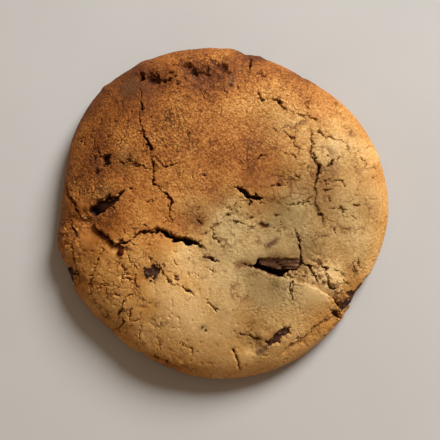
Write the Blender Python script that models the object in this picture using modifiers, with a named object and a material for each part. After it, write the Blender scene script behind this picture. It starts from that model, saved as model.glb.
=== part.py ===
"""Chocolate chunk cookie: one baked dough body with chunks of chocolate set in it.

Units are metres and +Z is up. The origin is the middle of the flat base. Seen from above, +Y is the browned
side of the cookie and +X the pale side. Each chunk sits in a pocket of its own in the dough.
"""

import math
import random

import bmesh
import bpy
import numpy as np
from mathutils import Euler, Matrix, Vector

MM = 0.001

# Driving dimensions
RADIUS = 45.5 * MM  # mean radius of the widest line of the wall
HEIGHT = 15.5 * MM  # height of the crown before its swells
WIDEST_HEIGHT = 3.6 * MM  # height at which the wall stands out furthest
FOOT_SETBACK = 2.6 * MM  # the flat base ends this far inside the widest line
CROWN_POWER = 3.3  # how flat the top stays before it turns down
SHOULDER_POWER = 1.9  # how round the turn into the wall is
CHUNK_GAP = 0.3 * MM  # air between a chunk and its pocket
CHUNK_EDGE = 0.45 * MM  # rounding of a chunk's edges
CHUNK_UNEVENNESS = 0.06  # how far a chunk's corners stray, as a share of its sides

# The outline is a circle with a few slow waves: waves round the rim, share of the radius, angle of one crest
OUTLINE_WAVES = [
    (2, 0.0167, 125),
    (3, 0.0200, 10),
    (4, 0.0145, 22),
    (5, 0.0070, 67),
    (6, 0.0039, 23),
    (7, 0.0037, 44),
]
OUTLINE_CENTRE = (-1.1 * MM, 0.3 * MM)  # centre of that circle, so that the origin is mid-outline

# Broad rises (+) and hollows (-) of the top: x, y, spread and height, all in mm
SWELLS_MM = [
    (-10, 22, 17, 1.0),
    (-26, -3, 9, 0.9),
    (-8, -25, 14, 0.9),
    (30, 8, 12, 0.7),
    (25.5, -24, 6, 1.4),
    (14, -20, 4.5, -1.9),
    (16, -5, 8, -1.1),
    (4, -1, 6, -0.8),
    (-36, -5, 4.5, -1.5),
    (-17, 35, 4.5, -1.2),
    (-4, 37, 5, -1.5),
    (8, -37.5, 4, -1.0),
    (30.5, -29.5, 3, -1.4),
]

# Deep splits in the crust: half width, depth, lift of the crust on the left-hand side of the route, and the
# route, all in mm
SPLITS_MM = {
    "main": (
        1.5,
        3.6,
        0.9,
        [(-35, -3), (-32, -7), (-29, -9), (-26.5, -10.5), (-23, -9.5), (-19, -7.5), (-15, -7.5), (-3, -12)],
    ),
    "upright": (1.1, 2.4, 0.3, [(-21.5, 28), (-21, 20), (-18, 14), (-17.5, 5), (-13, 1), (-12.5, -5)]),
    "shoulder": (1.1, 2.0, 0.4, [(10.5, 31), (11.5, 28), (15, 28), (18.5, 25), (22, 24), (26.5, 23)]),
    "east": (1.2, 2.1, 0.2, [(25, 18), (25.5, 13), (26.5, 8), (26, 3), (25, 0), (27, -4)]),
    "beside_chunk": (1.1, 2.2, 0.4, [(21.5, -10.5), (21.5, -16), (24.5, -18), (27, -22)]),
    "crumble": (1.1, 2.2, 0.3, [(26.5, -16), (28.5, -17.5), (29, -20), (31, -23)]),
    "west": (1.1, 1.8, 0.3, [(-32, -12.5), (-34, -17.5), (-35, -23.5)]),
    "south": (1.0, 1.7, 0.2, [(-15, -20), (-9, -22.5), (-3, -26.5), (0, -29)]),
    "south_west": (1.0, 1.8, 0.3, [(-26, -25), (-28, -29.5), (-27, -33)]),
    "crown": (1.3, 2.0, 0.4, [(-15.5, 34.5), (-11, 37.5), (-7, 36.5), (0.5, 38)]),
    "left_rim": (1.0, 1.6, 0.3, [(-43, 8), (-42, 3), (-38.5, -1.5)]),
    "foot": (1.0, 1.4, 0.2, [(-22, -36.5), (-16.5, -40), (-10, -42.5)]),
}

# Chunks of chocolate: place (x, y) on the crust, how far they stand proud of it, and length, width and
# height, all in mm, then the turn, pitch and roll from the lie of the crust there, in degrees
CHUNKS_MM = {
    "chunk_centre": ((15.8, -15.6), 0.5, (11.5, 5.6, 5.0), (-2, 0, 22)),
    "chunk_left": ((-30.0, 1.2), 0.4, (10.0, 3.6, 4.4), (25, 0, 10)),
    "chunk_slot": ((7.7, 2.0), 0.2, (7.0, 2.6, 4.0), (-19, 0, 0)),
    "chunk_fissure": ((-7.5, -10.4), 0.5, (6.0, 2.4, 4.0), (-14, 0, 0)),
    "chunk_south_west": ((-17.3, -18.4), 0.5, (4.6, 3.8, 4.2), (20, 6, 0)),
    "chunk_south_east": ((14.9, -35.8), 0.4, (9.2, 2.6, 4.6), (43, 0, 0)),
    "chunk_rim_east": ((35.4, -24.2), 0.4, (8.0, 3.4, 4.4), (60, 0, 0)),
    "chunk_rim_west": ((-40.6, -18.6), 0.4, (4.2, 3.0, 3.6), (-62, 0, 0)),
    "chunk_north_west": ((-31.0, 12.4), 0.1, (3.4, 2.6, 3.6), (60, 0, 0)),
}

GRID_CELLS = 260  # cells along each side of the grid that is pulled into the crust
DOUGH_TRIANGLES = 7400  # facets left on the dough before its pockets are cut
WALL_STEPS = 400  # steps along the wall's profile
SLOPE_STEP = 0.4 * MM  # distance over which the lie of the crust under a chunk is read


def clear_scene():
    for obj in list(bpy.data.objects):
        bpy.data.objects.remove(obj, do_unlink=True)


def make_collection(name):
    collection = bpy.data.collections.new(name)
    bpy.context.scene.collection.children.link(collection)
    return collection


def make_material(name, colour, roughness, subsurface=0.0):
    material = bpy.data.materials.new(name)
    material.use_nodes = True
    shader = material.node_tree.nodes["Principled BSDF"]
    shader.inputs["Base Color"].default_value = (*colour, 1.0)
    shader.inputs["Roughness"].default_value = roughness
    shader.inputs["Metallic"].default_value = 0.0
    shader.inputs["Subsurface Weight"].default_value = subsurface
    return material


def outline(angle):
    """Radius of the widest line of the wall at an angle round the cookie."""
    swell = np.zeros(np.shape(angle))
    for waves, share, crest in OUTLINE_WAVES:
        swell = swell + share * np.cos(waves * (angle - math.radians(crest)))
    return RADIUS * (1.0 + swell)


def wall_profile():
    """Shares of the way from crown to foot, and the share of the radius, setback and height at each."""
    turn = np.linspace(0.0, math.pi / 2, WALL_STEPS)
    under = np.linspace(0.0, math.pi / 2, WALL_STEPS // 8)[1:]
    reach = np.concatenate([np.sin(turn) ** (2 / CROWN_POWER), np.ones(len(under))])
    setback = np.concatenate([np.zeros(WALL_STEPS), FOOT_SETBACK * (1 - np.cos(under))])
    rise = (HEIGHT - WIDEST_HEIGHT) * np.cos(turn) ** (2 / SHOULDER_POWER)
    height = np.concatenate([WIDEST_HEIGHT + rise, WIDEST_HEIGHT * (1 - np.sin(under))])
    travel = np.hypot(np.diff(reach * RADIUS - setback), np.diff(height))
    share = np.concatenate([[0.0], np.cumsum(travel)])
    return share / share[-1], reach, setback, height


def square_to_disc(a, b):
    """Pulls the square -1..1 into the unit disc so that its cells keep an even size."""
    ring = np.maximum(np.abs(a), np.abs(b))
    lying = np.abs(a) >= np.abs(b)
    safe = np.where(ring > 0, ring, 1.0)
    across = np.where(lying, b, a) / safe * (math.pi / 4)
    beside = np.where(a >= 0, across, math.pi - across)
    above = np.where(b >= 0, math.pi / 2 - across, across - math.pi / 2)
    return ring, np.where(lying, beside, above)


def distance_to_route(x, y, route):
    """Distance to the nearest point of a route, share of the route passed there, and side, +1 on its left."""
    points = np.array(route) * MM
    steps = np.diff(points, axis=0)
    lengths = np.linalg.norm(steps, axis=1)
    passed = np.concatenate([[0.0], np.cumsum(lengths)])
    best = np.full(x.shape, np.inf)
    share = np.zeros(x.shape)
    side = np.ones(x.shape)
    for start, step, length, before in zip(points, steps, lengths, passed):
        along = step / length
        dx = x - start[0]
        dy = y - start[1]
        t = np.clip(dx * along[0] + dy * along[1], 0.0, length)
        gap = np.hypot(dx - t * along[0], dy - t * along[1])
        nearer = gap < best
        best = np.where(nearer, gap, best)
        share = np.where(nearer, (before + t) / passed[-1], share)
        side = np.where(nearer, np.sign(along[0] * dy - along[1] * dx), side)
    return best, share, side


def top_relief(x, y):
    """Height added to the smooth crown by its swells and taken away by its splits."""
    relief = np.zeros(x.shape)
    for swell_x, swell_y, spread, height in SWELLS_MM:
        reach = np.hypot(x - swell_x * MM, y - swell_y * MM) / (spread * MM)
        relief += height * MM * np.exp(-(reach**2))
    for half_width, depth, lift, route in SPLITS_MM.values():
        gap, share, side = distance_to_route(x, y, route)
        taper = np.sqrt(np.sin(math.pi * np.clip(share, 0.03, 0.97)))
        across = np.clip(gap / (half_width * MM * taper), 0.0, 1.0)
        relief -= depth * MM * taper * (1.0 - across) ** 0.8
        lip = np.exp(-((gap / (3.0 * MM)) ** 2)) * taper
        relief += np.where(side > 0, lift * MM * lip, 0.0)
    return relief


def relief_hold(height):
    """Share of the relief that is kept at a height: all of it on the crown, none at the widest line."""
    return np.clip((height - WIDEST_HEIGHT) / (HEIGHT - WIDEST_HEIGHT), 0.0, 1.0) ** 0.6


def dough_point(a, b):
    """Place on the crust and wall of a point of the square -1..1."""
    passed, angle = square_to_disc(a, b)
    shares, reach, setback, height = wall_profile()
    radius = outline(angle) * np.interp(passed, shares, reach) - np.interp(passed, shares, setback)
    x = OUTLINE_CENTRE[0] + radius * np.cos(angle)
    y = OUTLINE_CENTRE[1] + radius * np.sin(angle)
    z = np.interp(passed, shares, height)
    return x, y, z + top_relief(x, y) * relief_hold(z)


def crust_height(x, y):
    """Height of the crust over a point of the base."""
    from_centre = Vector((x - OUTLINE_CENTRE[0], y - OUTLINE_CENTRE[1]))
    reach = from_centre.length / float(outline(math.atan2(from_centre.y, from_centre.x)))
    fall = (1.0 - min(reach, 1.0) ** CROWN_POWER) ** (1 / SHOULDER_POWER)
    height = WIDEST_HEIGHT + (HEIGHT - WIDEST_HEIGHT) * fall
    return height + float(top_relief(np.array([x]), np.array([y]))[0] * relief_hold(height))


def crust_normal(x, y):
    """Direction in which the crust faces over a point of the base."""
    east = crust_height(x + SLOPE_STEP, y) - crust_height(x - SLOPE_STEP, y)
    north = crust_height(x, y + SLOPE_STEP) - crust_height(x, y - SLOPE_STEP)
    return Vector((-east, -north, 2 * SLOPE_STEP)).normalized()


def make_dough(collection, material):
    """The dough: a grid pulled over crown and wall, closed by the flat base, then thinned to facets."""
    mesh = bpy.data.meshes.new("cookie_dough")
    bm = bmesh.new()
    bmesh.ops.create_grid(bm, x_segments=GRID_CELLS, y_segments=GRID_CELLS, size=1.0)
    flat = np.array([vert.co[:2] for vert in bm.verts])
    x, y, z = dough_point(flat[:, 0], flat[:, 1])
    for vert, point in zip(bm.verts, np.column_stack([x, y, z])):
        vert.co = point
    rim = [edge for edge in bm.edges if edge.is_boundary]
    bmesh.ops.holes_fill(bm, edges=rim, sides=0)
    bmesh.ops.recalc_face_normals(bm, faces=bm.faces)
    bmesh.ops.triangulate(bm, faces=[face for face in bm.faces if len(face.verts) > 4])
    bm.to_mesh(mesh)
    bm.free()
    dough = bpy.data.objects.new("cookie_dough", mesh)
    collection.objects.link(dough)
    mesh.materials.append(material)
    thin = dough.modifiers.new("facets", "DECIMATE")
    thin.ratio = DOUGH_TRIANGLES / (2 * GRID_CELLS**2)
    return dough


def make_chunk_mesh(name, size, seed):
    """A broken block of chocolate: a cube cut once each way, with uneven corners."""
    uneven = random.Random(seed)
    bm = bmesh.new()
    bmesh.ops.create_cube(bm, size=1.0)
    bmesh.ops.subdivide_edges(bm, edges=bm.edges, cuts=1, use_grid_fill=True)
    for vert in bm.verts:
        shift = [uneven.uniform(-CHUNK_UNEVENNESS, CHUNK_UNEVENNESS) for _ in range(3)]
        vert.co = Vector(side * (part + push) for side, part, push in zip(size, vert.co, shift))
    mesh = bpy.data.meshes.new(name)
    bm.to_mesh(mesh)
    bm.free()
    return mesh


def chunk_placing(place, proud, size, turns):
    """Where a chunk lies: sunk along the lie of the crust until only its top stands proud."""
    x, y = (part * MM for part in place)
    normal = crust_normal(x, y)
    middle = Vector((x, y, crust_height(x, y))) + normal * (proud - size[2] / 2) * MM
    turn, pitch, roll = (math.radians(part) for part in turns)
    lie = Vector((0, 0, 1)).rotation_difference(normal)
    return Matrix.LocRotScale(middle, lie @ Euler((roll, pitch, turn)).to_quaternion(), None)


def make_chunk(name, placing, size, seed, collection, material):
    """A chunk at its place in the crust, with rounded edges."""
    chunk = bpy.data.objects.new(name, make_chunk_mesh(name, [side * MM for side in size], seed))
    chunk.matrix_basis = placing
    collection.objects.link(chunk)
    chunk.data.materials.append(material)
    soften = chunk.modifiers.new("worn_edges", "BEVEL")
    soften.width = CHUNK_EDGE
    soften.segments = 1
    soften.angle_limit = math.radians(40)


def cut_pocket(dough, name, placing, size, seed, cutters):
    """Cuts a chunk's pocket, a copy of the chunk that is larger by the gap all round, from the dough."""
    wide = [side * MM + 2 * CHUNK_GAP for side in size]
    cutter = bpy.data.objects.new("pocket_" + name, make_chunk_mesh("pocket_" + name, wide, seed))
    cutter.matrix_basis = placing
    cutter.hide_render = True
    cutter.display_type = "WIRE"
    cutters.objects.link(cutter)
    cut = dough.modifiers.new("pocket_" + name, "BOOLEAN")
    cut.operation = "DIFFERENCE"
    cut.object = cutter


def main():
    clear_scene()
    parts = make_collection("chocolate_chunk_cookie")
    cutters = make_collection("cutters")
    cutters.hide_render = True
    dough_finish = make_material("baked_dough", (0.42, 0.23, 0.09), 0.8, 0.1)
    chocolate_finish = make_material("dark_chocolate", (0.045, 0.017, 0.010), 0.4)
    dough = make_dough(parts, dough_finish)
    for seed, (name, (place, proud, size, turns)) in enumerate(CHUNKS_MM.items(), start=1):
        placing = chunk_placing(place, proud, size, turns)
        make_chunk(name, placing, size, seed, parts, chocolate_finish)
        cut_pocket(dough, name, placing, size, seed, cutters)


main()
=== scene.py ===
"""Looks of the chocolate chip cookie: the baked dough, its chocolate chunks, flecks and crumbs.

Lengths in the tables are in millimetres, seen from above, with the browner side of the crust at -X and +Y.
"""

import itertools
import math
import random

import bpy
import numpy as np
from mathutils import Euler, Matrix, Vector


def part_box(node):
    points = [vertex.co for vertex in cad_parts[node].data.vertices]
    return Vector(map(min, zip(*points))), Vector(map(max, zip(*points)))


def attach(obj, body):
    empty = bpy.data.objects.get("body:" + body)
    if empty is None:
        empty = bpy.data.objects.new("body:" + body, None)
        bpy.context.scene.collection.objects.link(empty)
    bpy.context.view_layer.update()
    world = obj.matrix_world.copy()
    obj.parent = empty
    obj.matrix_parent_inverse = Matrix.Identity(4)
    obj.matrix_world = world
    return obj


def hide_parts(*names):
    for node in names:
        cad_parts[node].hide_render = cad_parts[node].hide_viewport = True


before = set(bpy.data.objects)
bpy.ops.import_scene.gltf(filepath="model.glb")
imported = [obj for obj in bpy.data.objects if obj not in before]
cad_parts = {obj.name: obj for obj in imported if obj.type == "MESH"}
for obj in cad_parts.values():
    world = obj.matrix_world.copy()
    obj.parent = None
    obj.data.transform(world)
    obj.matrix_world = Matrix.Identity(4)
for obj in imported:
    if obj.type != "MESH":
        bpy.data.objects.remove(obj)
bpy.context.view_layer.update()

MM = 0.001
KEY_WEIGHTS = np.array([127.1, 311.7, 74.7])  # turn the corner of a noise cell into one key

# The dough's form, as the solid model has it
CROWN = 15.5  # height of the crown before its swells
WIDEST = 3.6  # height at which the wall stands out furthest
FOOT_SETBACK = 2.6  # the flat base ends this far inside the widest line
CROWN_POWER = 3.3
SHOULDER_POWER = 1.9
WALL_STEPS = 400
OUTLINE_WAVES = [  # waves round the rim, share of the radius, angle of one crest
    (2, 0.0167, 125),
    (3, 0.0200, 10),
    (4, 0.0145, 22),
    (5, 0.0070, 67),
    (6, 0.0039, 23),
    (7, 0.0037, 44),
]

# Fineness of the dough's mesh
TOP_CELLS = 600
BASE_CELLS = 140
DOUGH_TRIANGLES = 195000

# Broad rises and hollows of the crust, as the solid model has them: x, y, spread, height
SWELLS = [
    (-10, 22, 17, 1.0),
    (-26, -3, 9, 0.9),
    (-8, -25, 14, 0.9),
    (30, 8, 12, 0.7),
    (25.5, -24, 6, 1.4),
    (14, -20, 4.5, -1.9),
    (16, -5, 8, -1.1),
    (4, -1, 6, -0.8),
    (-36, -5, 4.5, -1.5),
    (-17, 35, 4.5, -1.2),
    (-4, 37, 5, -1.5),
    (8, -37.5, 4, -1.0),
    (30.5, -29.5, 3, -1.4),
]

# Smaller rises and dips that the solid model leaves out: x, y, spread, height
DIMPLES = [
    (16, -12.3, 3.5, 0.8),
    (15.5, -20.6, 2.6, 0.9),
    (13.5, -24.4, 3.4, -0.9),
    (-44, -7.8, 2.4, 1.0),
    (-44, -13.2, 2.2, 0.9),
    (16, 5.8, 3.0, -0.7),
    (16, 1.5, 2.5, 0.4),
    (24, -11, 4.5, 0.6),
    (-14, -13.5, 3.6, 0.5),
    (-9, 41.5, 4.5, 0.7),
    (6, 41, 4, 0.5),
    (-16.5, 39.5, 2.8, 0.9),
    (-18, 34.5, 2.5, -0.5),
    (30.2, 8.6, 2.6, 0.5),
    (21, 12, 5, 0.5),
    (29, 13.5, 4, 0.6),
    (31, -1, 5, 0.4),
    (-39, -1, 3, 0.5),
    (9, -37.8, 2.2, -0.7),
    (-33, 3, 4, 0.4),
]

# Open cracks: how far the crust on the left of the route stands up, how far out and how deep the crust on
# its right slopes down to it, and the route as x, y and half width
CRACKS = {
    "main_west": (0.3, 2.0, 1.3, [(-33.4, -2.6, .5), (-33.2, -5.2, .4), (-31.6, -7.2, .42),
        (-29.4, -8.9, .6), (-27.9, -10.2, .5), (-26.7, -10.8, .3)]),
    "main_middle": (0.2, 0, 0, [(-27.2, -10.9, .3), (-25.6, -10.3, .3), (-24.7, -10.1, .24),
        (-23, -9.5, .28), (-21.6, -9.2, .22), (-21.1, -8.3, .26), (-19.8, -7.8, .26)]),
    "main_east": (0.3, 1.8, 0.5, [(-20.4, -8.0, .2), (-19.5, -7.5, .22), (-17.2, -7.5, .32),
        (-15.2, -7.3, .6), (-13.1, -8.0, .9), (-11.1, -8.9, .95), (-9.4, -9.3, .9), (-7.8, -9.9, .9),
        (-6.2, -10.3, .75), (-5.0, -11.2, .35)]),
    "upright_top": (0.3, 0, 0, [(-21.6, 31.2, .15), (-21, 27.4, .42), (-21.7, 24.1, .35),
        (-21.3, 22.3, .18), (-20.5, 19.4, .25), (-19.5, 17.1, .42), (-18.6, 15, .6), (-18, 13.4, .2)]),
    "upright_foot": (0.2, 0, 0, [(-17.7, 12.4, .15), (-17.5, 10.2, .38), (-17.3, 8, .33),
        (-17.5, 5.2, .38), (-15.1, 3.6, .15), (-13.6, 2, .25), (-12.2, .5, .45), (-13, -1.4, .4),
        (-12.7, -3, .15), (-12.3, -4.8, .15), (-12.8, -7, .1)]),
    "upright_right": (0.1, 0, 0, [(-17, 12.2, .12), (-15, 10.2, .25), (-13.6, 9.7, .25),
        (-12.1, 10.1, .2), (-10.6, 10.4, .1)]),
    "upright_left": (0.1, 0, 0, [(-23.2, 10.2, .14), (-20.6, 9.8, .2), (-18.3, 9.2, .15)]),
    "upright_fork": (0.1, 0, 0, [(-20.4, 15.6, .1), (-19.2, 13.9, .18), (-18.2, 13, .1)]),
    "shoulder": (0.3, 0, 0, [(10.4, 30.5, .25), (11, 28.7, .32), (12.6, 27.9, .26), (15.6, 27.9, .26),
        (17.1, 26.9, .22), (18.8, 24.9, .2), (20.4, 24.2, .26), (22, 23.6, .28), (23.8, 24.1, .28),
        (25, 23.5, .28), (26.5, 22.6, .2)]),
    "shoulder_end": (0.2, 0, 0, [(26.6, 20.6, .2), (27, 19, .26), (28.6, 17.4, .26), (30.1, 17.6, .22),
        (32.2, 16.8, .26), (33.9, 16.6, .1)]),
    "east": (0.4, 1.8, 0.5, [(24.9, 17.9, .2), (25.3, 13.7, .22), (26.2, 10.8, .22), (26.6, 9.9, .26),
        (26.9, 7.4, .36), (26.2, 5.5, .2)]),
    "east_low": (0.2, 2.6, 0.4, [(26.2, 5.5, .12), (25.8, 3.6, .1), (26, 1.2, .1), (25.3, -.8, .14),
        (26.2, -2.2, .26), (26.8, -3.4, .36)]),
    "east_left": (0.1, 0, 0, [(18.6, -.7, .1), (20.5, -.4, .16), (22.5, .1, .12), (25, -.5, .22)]),
    "patch_slit": (0.0, 0, 0, [(28.5, 8.9, .2), (29.7, 10.0, .4), (31.1, 10.9, .2)]),
    "patch_foot": (0.1, 0, 0, [(28.3, 5.7, .15), (30, 5.4, .15), (32.3, 6, .18), (33.4, 4.2, .18)]),
    "north_slit": (0.0, 0, 0, [(10.5, 11.3, .1), (11.3, 11.8, .3), (12.2, 12.2, .1)]),
    "dent_edge": (0.2, 0, 0, [(13.6, 4.1, .15), (15, 4.1, .22), (16.7, 4.5, .22), (18.4, 5.1, .12)]),
    "north_east": (0.1, 0, 0, [(17.4, 19.2, .12), (19, 17.2, .22), (20.2, 16.7, .22), (19.9, 15, .16),
        (22.4, 13.6, .16)]),
    "rim_slit": (0.0, 0, 0, [(31.5, 25.4, .2), (32.8, 24.6, .12)]),
    "slot": (0.2, 0, 0, [(4.6, 3.4, .45), (6.1, 2.5, .68), (8, 1.9, .72), (9.6, 1.2, .85),
        (10.6, .8, .7), (12.2, .5, .14)]),
    "slot_tail": (0.0, 0, 0, [(8, 1.4, .5), (8.8, .1, .3)]),
    "hole_line": (0.1, 0, 0, [(-34.6, 17.3, .12), (-33.9, 15.4, .15), (-33.1, 13.9, .2),
        (-31.6, 13.2, .25)]),
    "zigzag": (0.1, 0, 0, [(-26.9, 12, .15), (-25, 11.6, .2), (-23.8, 13.1, .25), (-23.1, 12.3, .12)]),
    "upper_left": (0.1, 0, 0, [(-28, 16.2, .1), (-26.8, 17.2, .16), (-25.7, 18.1, .1)]),
    "left_rim_top": (0.3, 0, 0, [(-43, 7.5, .25), (-42, 3.7, .25), (-40.6, 1.1, .3), (-38.6, -.9, .4)]),
    "left_rim_mid": (0.2, 0, 0, [(-41, -3.2, .22), (-39.9, -6.1, .32), (-38.9, -7.9, .22)]),
    "left_rim_foot": (0.2, 0, 0, [(-40.9, -10.2, .3), (-40.3, -12.3, .34), (-39.3, -16.4, .32),
        (-39.4, -18.1, .4)]),
    "west": (0.2, 0, 0, [(-31.1, -12, .28), (-32.2, -13.7, .3), (-32.9, -15.7, .18),
        (-34.2, -18.2, .15), (-34.9, -20.8, .28), (-34.9, -23.5, .15), (-36.4, -24.5, .22)]),
    "bead_crack": (0.0, 0, 0, [(-24.2, -13.3, .15), (-23.5, -16.2, .1)]),
    "south_left": (0.1, 0, 0, [(-22.9, -18.8, .22), (-22, -21.7, .22), (-21.7, -22.9, .12)]),
    "round_chunk": (0.1, 0, 0, [(-14.2, -15.9, .15), (-14.9, -17.6, .12), (-13.6, -20.8, .2),
        (-12.1, -21.8, .22), (-10.9, -22, .12)]),
    "south": (0.2, 0, 0, [(-9.5, -22.8, .32), (-7.8, -23.6, .22), (-6, -24.7, .12)]),
    "south_end": (0.1, 0, 0, [(-3.2, -26.4, .12), (-1.5, -27.8, .26), (.1, -28.5, .15)]),
    "middle": (0.1, 0, 0, [(-3.8, -14.9, .2), (-2, -15.4, .35), (.3, -15.8, .22)]),
    "south_west": (0.2, 0, 0, [(-25.5, -25.4, .28), (-26.6, -28.0, .45), (-27.6, -29.6, .2)]),
    "south_west_2": (0.1, 0, 0, [(-26.3, -30.6, .24), (-27.1, -32.1, .3), (-28.2, -33.2, .2),
        (-26.8, -34, .2)]),
    "foot": (0.5, 1.2, 0.7, [(-22.4, -36.5, .28), (-20.7, -38.5, .38), (-18.6, -39.5, .45),
        (-16.6, -40.2, .65), (-14.3, -41.4, .6), (-12.1, -42.5, .35), (-10, -42.6, .15)]),
    "foot_up": (0.1, 0, 0, [(-16.3, -35.7, .12), (-16.5, -38.6, .16)]),
    "foot_east": (0.3, 1.6, 0.5, [(17.6, -38, .1), (18.4, -37.4, .12), (22, -34.8, .15),
        (25.7, -32, .15), (28.5, -30.3, .22)]),
    "to_hollow": (0.1, 0, 0, [(5.9, -16.5, .12), (8.2, -17, .28), (10, -17, .15)]),
    "below_chunk": (0.1, 0, 0, [(18.9, -21.2, .26), (18.3, -22.7, .14), (18.9, -24.5, .14),
        (19.3, -26.6, .1)]),
    "beside_chunk": (0.2, 0, 0, [(20.5, -7.4, .12), (21.4, -10.5, .22), (21.5, -12.8, .25),
        (21.6, -16.5, .32)]),
    "crumble_a": (0.3, 0, 0, [(22.2, -16.4, .2), (24, -17.1, .25), (25.2, -20, .18),
        (26.1, -21.5, .18)]),
    "crumble_b": (0.3, 0, 0, [(26.6, -16.1, .25), (27.4, -17.3, .35), (28.8, -17.8, .3),
        (28.6, -19.2, .22), (29.1, -20.5, .25), (29.2, -22.3, .4), (30.6, -23.3, .35)]),
    "crumble_c": (0.1, 0, 0, [(32.7, -20.4, .15), (34.3, -21.9, .15)]),
    "mound_edge": (0.5, 2.0, 0.8, [(31.3, -27.5, .3), (29.8, -25.4, .25), (26, -23, .1),
        (20.6, -21.2, .1)]),
    "right": (0.1, 0, 0, [(30.3, -7, .14), (30.7, -9, .1)]),
    "dark_line": (0.1, 0, 0, [(4.1, -5.2, .22), (6.5, -5.5, .22)]),
    "plateau_edge": (0.3, 1.2, 0.4, [(-3.5, -8, .1), (-.8, -6.1, .16), (1.4, -4.6, .12),
        (3.2, -2.2, .14), (5.2, .6, .1)]),
    "south_east": (0.2, 0, 0, [(5.9, -34.5, .22), (8, -34.7, .22), (9.2, -35.7, .18),
        (11.6, -35.9, .22), (13.1, -36.4, .12)]),
    "south_rim": (0.1, 0, 0, [(3.7, -38.7, .18), (4, -41.2, .22), (4.7, -43.4, .15)]),
    "crown_recess": (0.3, 0, 0, [(-21.2, 37.5, .25), (-18.4, 37, .25), (-16.1, 35.3, .3),
        (-15.2, 34.4, .45), (-13.4, 35.2, .4), (-12.2, 36, .2)]),
    "crown": (0.2, 0, 0, [(-14, 37.5, .2), (-12.4, 37.1, .25), (-11.2, 37.5, .3), (-10.1, 38.5, .35)]),
    "crown_small": (0.1, 0, 0, [(-4.6, 29.6, .1), (-3.5, 30.2, .3), (-2.7, 31, .12)]),
    "crown_notch": (0.1, 0, 0, [(8.2, 40.8, .32), (8.3, 38.2, .45), (8.2, 37, .25)]),
    "crown_right": (0.1, 0, 0, [(1.8, 32.5, .2), (1.9, 28.5, .12)]),
    "crown_far": (0.1, 0, 0, [(5, 32.2, .12), (5.9, 31, .12)]),
}

# Pits: x, y, half length, half width, turn in degrees, depth
PITS = [
    (-21.9, 36.3, 1.0, 1.5, 0, 2.4),
    (-9.3, 38.8, 2.1, 1.0, 0, 1.4),
    (-6.9, 37.0, 1.9, 1.4, -10, 1.8),
    (-4.2, 36.2, 2.0, 0.9, -10, 0.7),
    (-3.3, 37.9, 1.0, 0.8, 0, 1.0),
    (0.6, 38.2, 1.7, 1.6, 20, 1.2),
    (2.4, 36.2, 0.9, 0.7, 0, 0.7),
    (-11.5, 33.4, 0.7, 1.0, 0, 0.7),
    (17.1, 26.9, 0.5, 0.4, -30, 0.9),
    (26.8, -3.4, 0.7, 0.6, 0, 1.3),
    (-33.4, 9.1, 1.0, 0.6, 20, 0.9),
    (-34.3, 12.6, 0.6, 0.9, 0, 0.7),
    (-12.2, 0.6, 0.6, 0.45, -40, 1.2),
    (-12.9, -1.6, 0.5, 0.45, 0, 1.2),
    (-39.4, -18.2, 0.6, 0.6, 0, 1.2),
    (30.3, -29.2, 1.8, 0.7, 10, 1.5),
    (-3.8, 7.4, 0.6, 0.5, 0, 0.4),
    (11.5, -6.4, 1.1, 0.7, -10, 0.6),
    (8.1, -4.6, 0.8, 0.5, 20, 0.6),
    (-23.4, 4.2, 0.7, 0.5, 30, 0.5),
]

# Openings over the chunks: depth, width of their bank, corners of their outline anticlockwise
HOLLOWS = {
    "centre": (4.2, 0.7, [(9.0, -17.0), (9.8, -18.2), (12.2, -19.1), (14.6, -19.6), (17.4, -19.7),
        (20.4, -18.5), (21.4, -16.9), (21.3, -15.1), (10.6, -15.1)]),
    "left": (2.5, 0.6, [(-35.6, -1.3), (-35.0, -2.8), (-33.5, -3.3), (-31.5, -2.4), (-29.6, -1.0),
        (-27.2, .9), (-25, 3.6), (-25.4, 4.2), (-28, 3.1), (-31, 2.2), (-33.6, 1.4), (-35.2, .2)]),
    "south_west": (0.9, 0.5, [(-19.4, -17.6), (-19, -19.4), (-17, -20.3), (-15.3, -18.6),
        (-14.9, -17.4), (-17.4, -16.7)]),
    "south_east": (1.3, 0.8, [(18.9, -32.1), (15.2, -34.2), (12.2, -36.9), (12, -38.3), (15.3, -37.6),
        (18.7, -34.3)]),
    "north_west": (3.0, 0.3, [(-32.2, 11.3), (-31, 10.8), (-29.9, 11.7), (-28.8, 13.4), (-29.2, 14),
        (-31.8, 13.5)]),
    "rim_east": (0.9, 0.6, [(33.2, -26.4), (34.8, -27.1), (37.0, -25.0), (39.4, -21.2), (41.0, -18.0),
        (40.0, -17.8), (33.6, -24.8)]),
    "rim_west": (0.9, 0.5, [(-41.0, -17.0), (-43.8, -17.5), (-43.3, -21.8), (-41.0, -21.8),
        (-40.3, -19.3)]),
    "crown_recess": (1.5, 1.4, [(-20.8, 34), (-17, 33.2), (-15.6, 34.4), (-17.4, 36.8), (-20.6, 37.2)]),
    "recess": (0.8, 1.2, [(-38.4, -3.4), (-36.8, -5.4), (-33.4, -5.8), (-33.2, -2.8), (-36, -2.2)]),
}

# Where dough slid out of a crack and stayed smooth: x, y, spread
SMOOTH_PLACES = [
    (13.6, -23.4, 4.6),
    (26, -25, 4.4),
    (-13.5, -10.6, 2.2),
    (-35.2, -8.7, 2.6),
    (16.5, -12.8, 3.2),
    (11.6, -14.2, 2.4),
    (20.4, -14.2, 2.4),
    (-39.5, -24, 3.0),
]

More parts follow.
